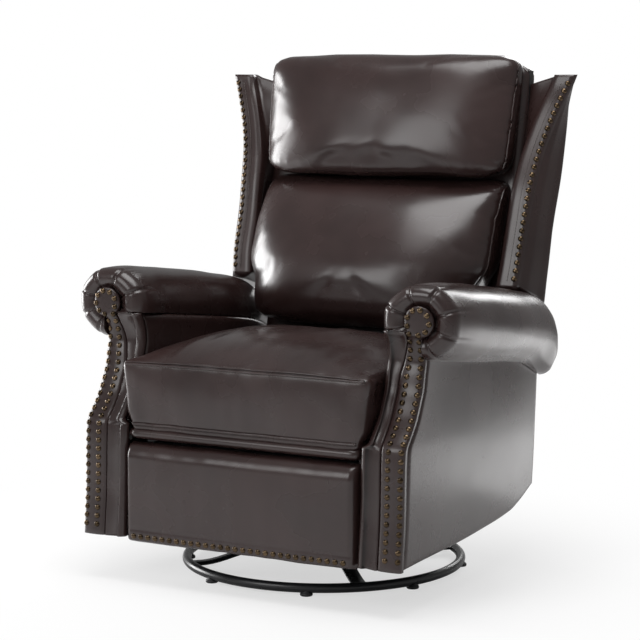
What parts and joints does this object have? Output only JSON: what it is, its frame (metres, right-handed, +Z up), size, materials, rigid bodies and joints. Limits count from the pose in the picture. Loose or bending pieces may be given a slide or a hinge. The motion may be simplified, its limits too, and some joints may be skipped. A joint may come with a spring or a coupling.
{
  "type": "wingback swivel rocker recliner",
  "caption": "Leather wingback armchair that swivels and rocks on a round floor ring, with a reclining back, a fold-out footrest, rolled arms and nailhead trim.",
  "frame": {"origin": "on the floor, under the middle of the upright chair's box; the swivel axis stands 8.15 mm in front of it", "axes": "+Z up; the sitter faces -Y; the sitter's left is +X"},
  "size_m": [0.864, 0.7236, 1.05],
  "materials": {
    "shell_leather": "dark espresso brown, satin gloss",
    "cushion_leather": "dark espresso brown, satin gloss, softly creased",
    "nailhead_brass": "antique brass, burnished on the domes",
    "black_steel": "semi-gloss black powder coat",
    "black_plastic": "matte",
    "mechanism_steel": "zinc-plated, dull",
    "plywood": "raw"
  },
  "bodies": {
    "base": {"base_ring_frame": "black_steel", "base_glide_1": "black_plastic", "base_glide_2": "black_plastic", "base_glide_3": "black_plastic", "base_glide_4": "black_plastic", "base_glide_5": "black_plastic", "base_glide_6": "black_plastic", "base_glide_7": "black_plastic", "base_glide_8": "black_plastic"},
    "swivel": {"swivel_upper_plate": "mechanism_steel", "rocker_spring_front": "mechanism_steel", "rocker_spring_rear": "mechanism_steel"},
    "chassis": {"mechanism_plate_left": "mechanism_steel", "mechanism_plate_right": "mechanism_steel", "front_cross_rail": "mechanism_steel", "rear_cross_rail": "mechanism_steel", "rock_pivot_shaft": "mechanism_steel", "rear_valance": "shell_leather", "arm_frame_left": "plywood", "arm_frame_right": "plywood", "arm_outer_panel_left": "shell_leather", "arm_outer_panel_right": "shell_leather", "arm_front_panel_left": "shell_leather", "arm_front_panel_right": "shell_leather", "arm_inner_pad_left": "shell_leather", "arm_inner_pad_right": "shell_leather", "arm_roll_left": "shell_leather", "arm_roll_right": "shell_leather", "arm_nail_strip_left": "nailhead_brass", "arm_nail_strip_right": "nailhead_brass"},
    "seat": {"seat_side_rail_left": "mechanism_steel", "seat_side_rail_right": "mechanism_steel", "seat_cross_rail_front": "mechanism_steel", "seat_cross_rail_rear": "mechanism_steel", "seat_spring_deck": "mechanism_steel", "seat_cushion": "cushion_leather"},
    "back": {"back_frame_board": "plywood", "back_outer_panel": "shell_leather", "back_hinge_bracket_left": "mechanism_steel", "back_hinge_bracket_right": "mechanism_steel", "back_cushion": "cushion_leather", "head_pillow": "cushion_leather", "wing_left": "shell_leather", "wing_right": "shell_leather", "wing_nail_strip_left": "nailhead_brass", "wing_nail_strip_right": "nailhead_brass"},
    "drive": {"footrest_drive_tube": "mechanism_steel", "release_lever": "black_plastic", "footrest_link_a_left": "mechanism_steel", "footrest_link_a_right": "mechanism_steel"},
    "link_b": {"footrest_link_b_left": "mechanism_steel", "footrest_link_b_right": "mechanism_steel"},
    "link_c": {"footrest_link_c_left": "mechanism_steel", "footrest_link_c_right": "mechanism_steel"},
    "link_d": {"footrest_link_d_left": "mechanism_steel", "footrest_link_d_right": "mechanism_steel"},
    "footrest": {"footrest_pad": "cushion_leather", "footrest_board": "plywood", "footrest_mount_rail": "mechanism_steel", "footrest_nail_strip": "nailhead_brass"}
  },
  "joints": [
    {"name": "swivel_turn", "type": "hinge", "parent": "base", "child": "swivel", "pos_m": [0, -0.00815, 0.065], "axis": [0, 0, 1], "continuous": true},
    {"name": "rock", "type": "hinge", "parent": "swivel", "child": "chassis", "pos_m": [0, -0.00815, 0.15], "axis": [1, 0, 0], "range_deg": [-10, 6], "stiffness_Nm_per_rad": 700, "deforming": ["rocker_spring_front", "rocker_spring_rear"]},
    {"name": "seat_slide", "type": "slide", "parent": "chassis", "child": "seat", "axis": [0, -1, 0], "range_m": [0, 0.025]},
    {"name": "recline", "type": "hinge", "parent": "seat", "child": "back", "pos_m": [0, 0.21185, 0.36], "axis": [-1, 0, 0], "range_deg": [0, 36]},
    {"name": "footrest_open", "type": "hinge", "parent": "chassis", "child": "drive", "pos_m": [0, -0.15345, 0.226], "axis": [-1, 0, 0], "range_deg": [0, 116.8]},
    {"name": "link_b_pivot", "type": "hinge", "parent": "chassis", "child": "link_b", "pos_m": [0, -0.20395, 0.262], "axis": [-1, 0, 0], "range_deg": [0, 113]},
    {"name": "link_c_pivot", "type": "hinge", "parent": "drive", "child": "link_c", "pos_m": [0, -0.08235, 0.13333], "axis": [-1, 0, 0], "range_deg": [-120, 0]},
    {"name": "link_d_pivot", "type": "hinge", "parent": "link_b", "child": "link_d", "pos_m": [0, -0.11307, 0.13804], "axis": [-1, 0, 0], "range_deg": [-119, 0]},
    {"name": "footrest_tilt", "type": "hinge", "parent": "link_c", "child": "footrest", "pos_m": [0, -0.28327, 0.2624], "axis": [-1, 0, 0], "range_deg": [0, 84]}
  ],
  "couplings": [
    {"joint": "seat_slide", "follows": "recline", "m_per_rad": 0.0397},
    {"joint": "link_b_pivot", "follows": "footrest_open", "ratio": 0.96382},
    {"joint": "link_c_pivot", "follows": "footrest_open", "ratio": -1.0261},
    {"joint": "link_d_pivot", "follows": "footrest_open", "ratio": -1.0163},
    {"joint": "footrest_tilt", "follows": "footrest_open", "ratio": 0.71253}
  ]
}
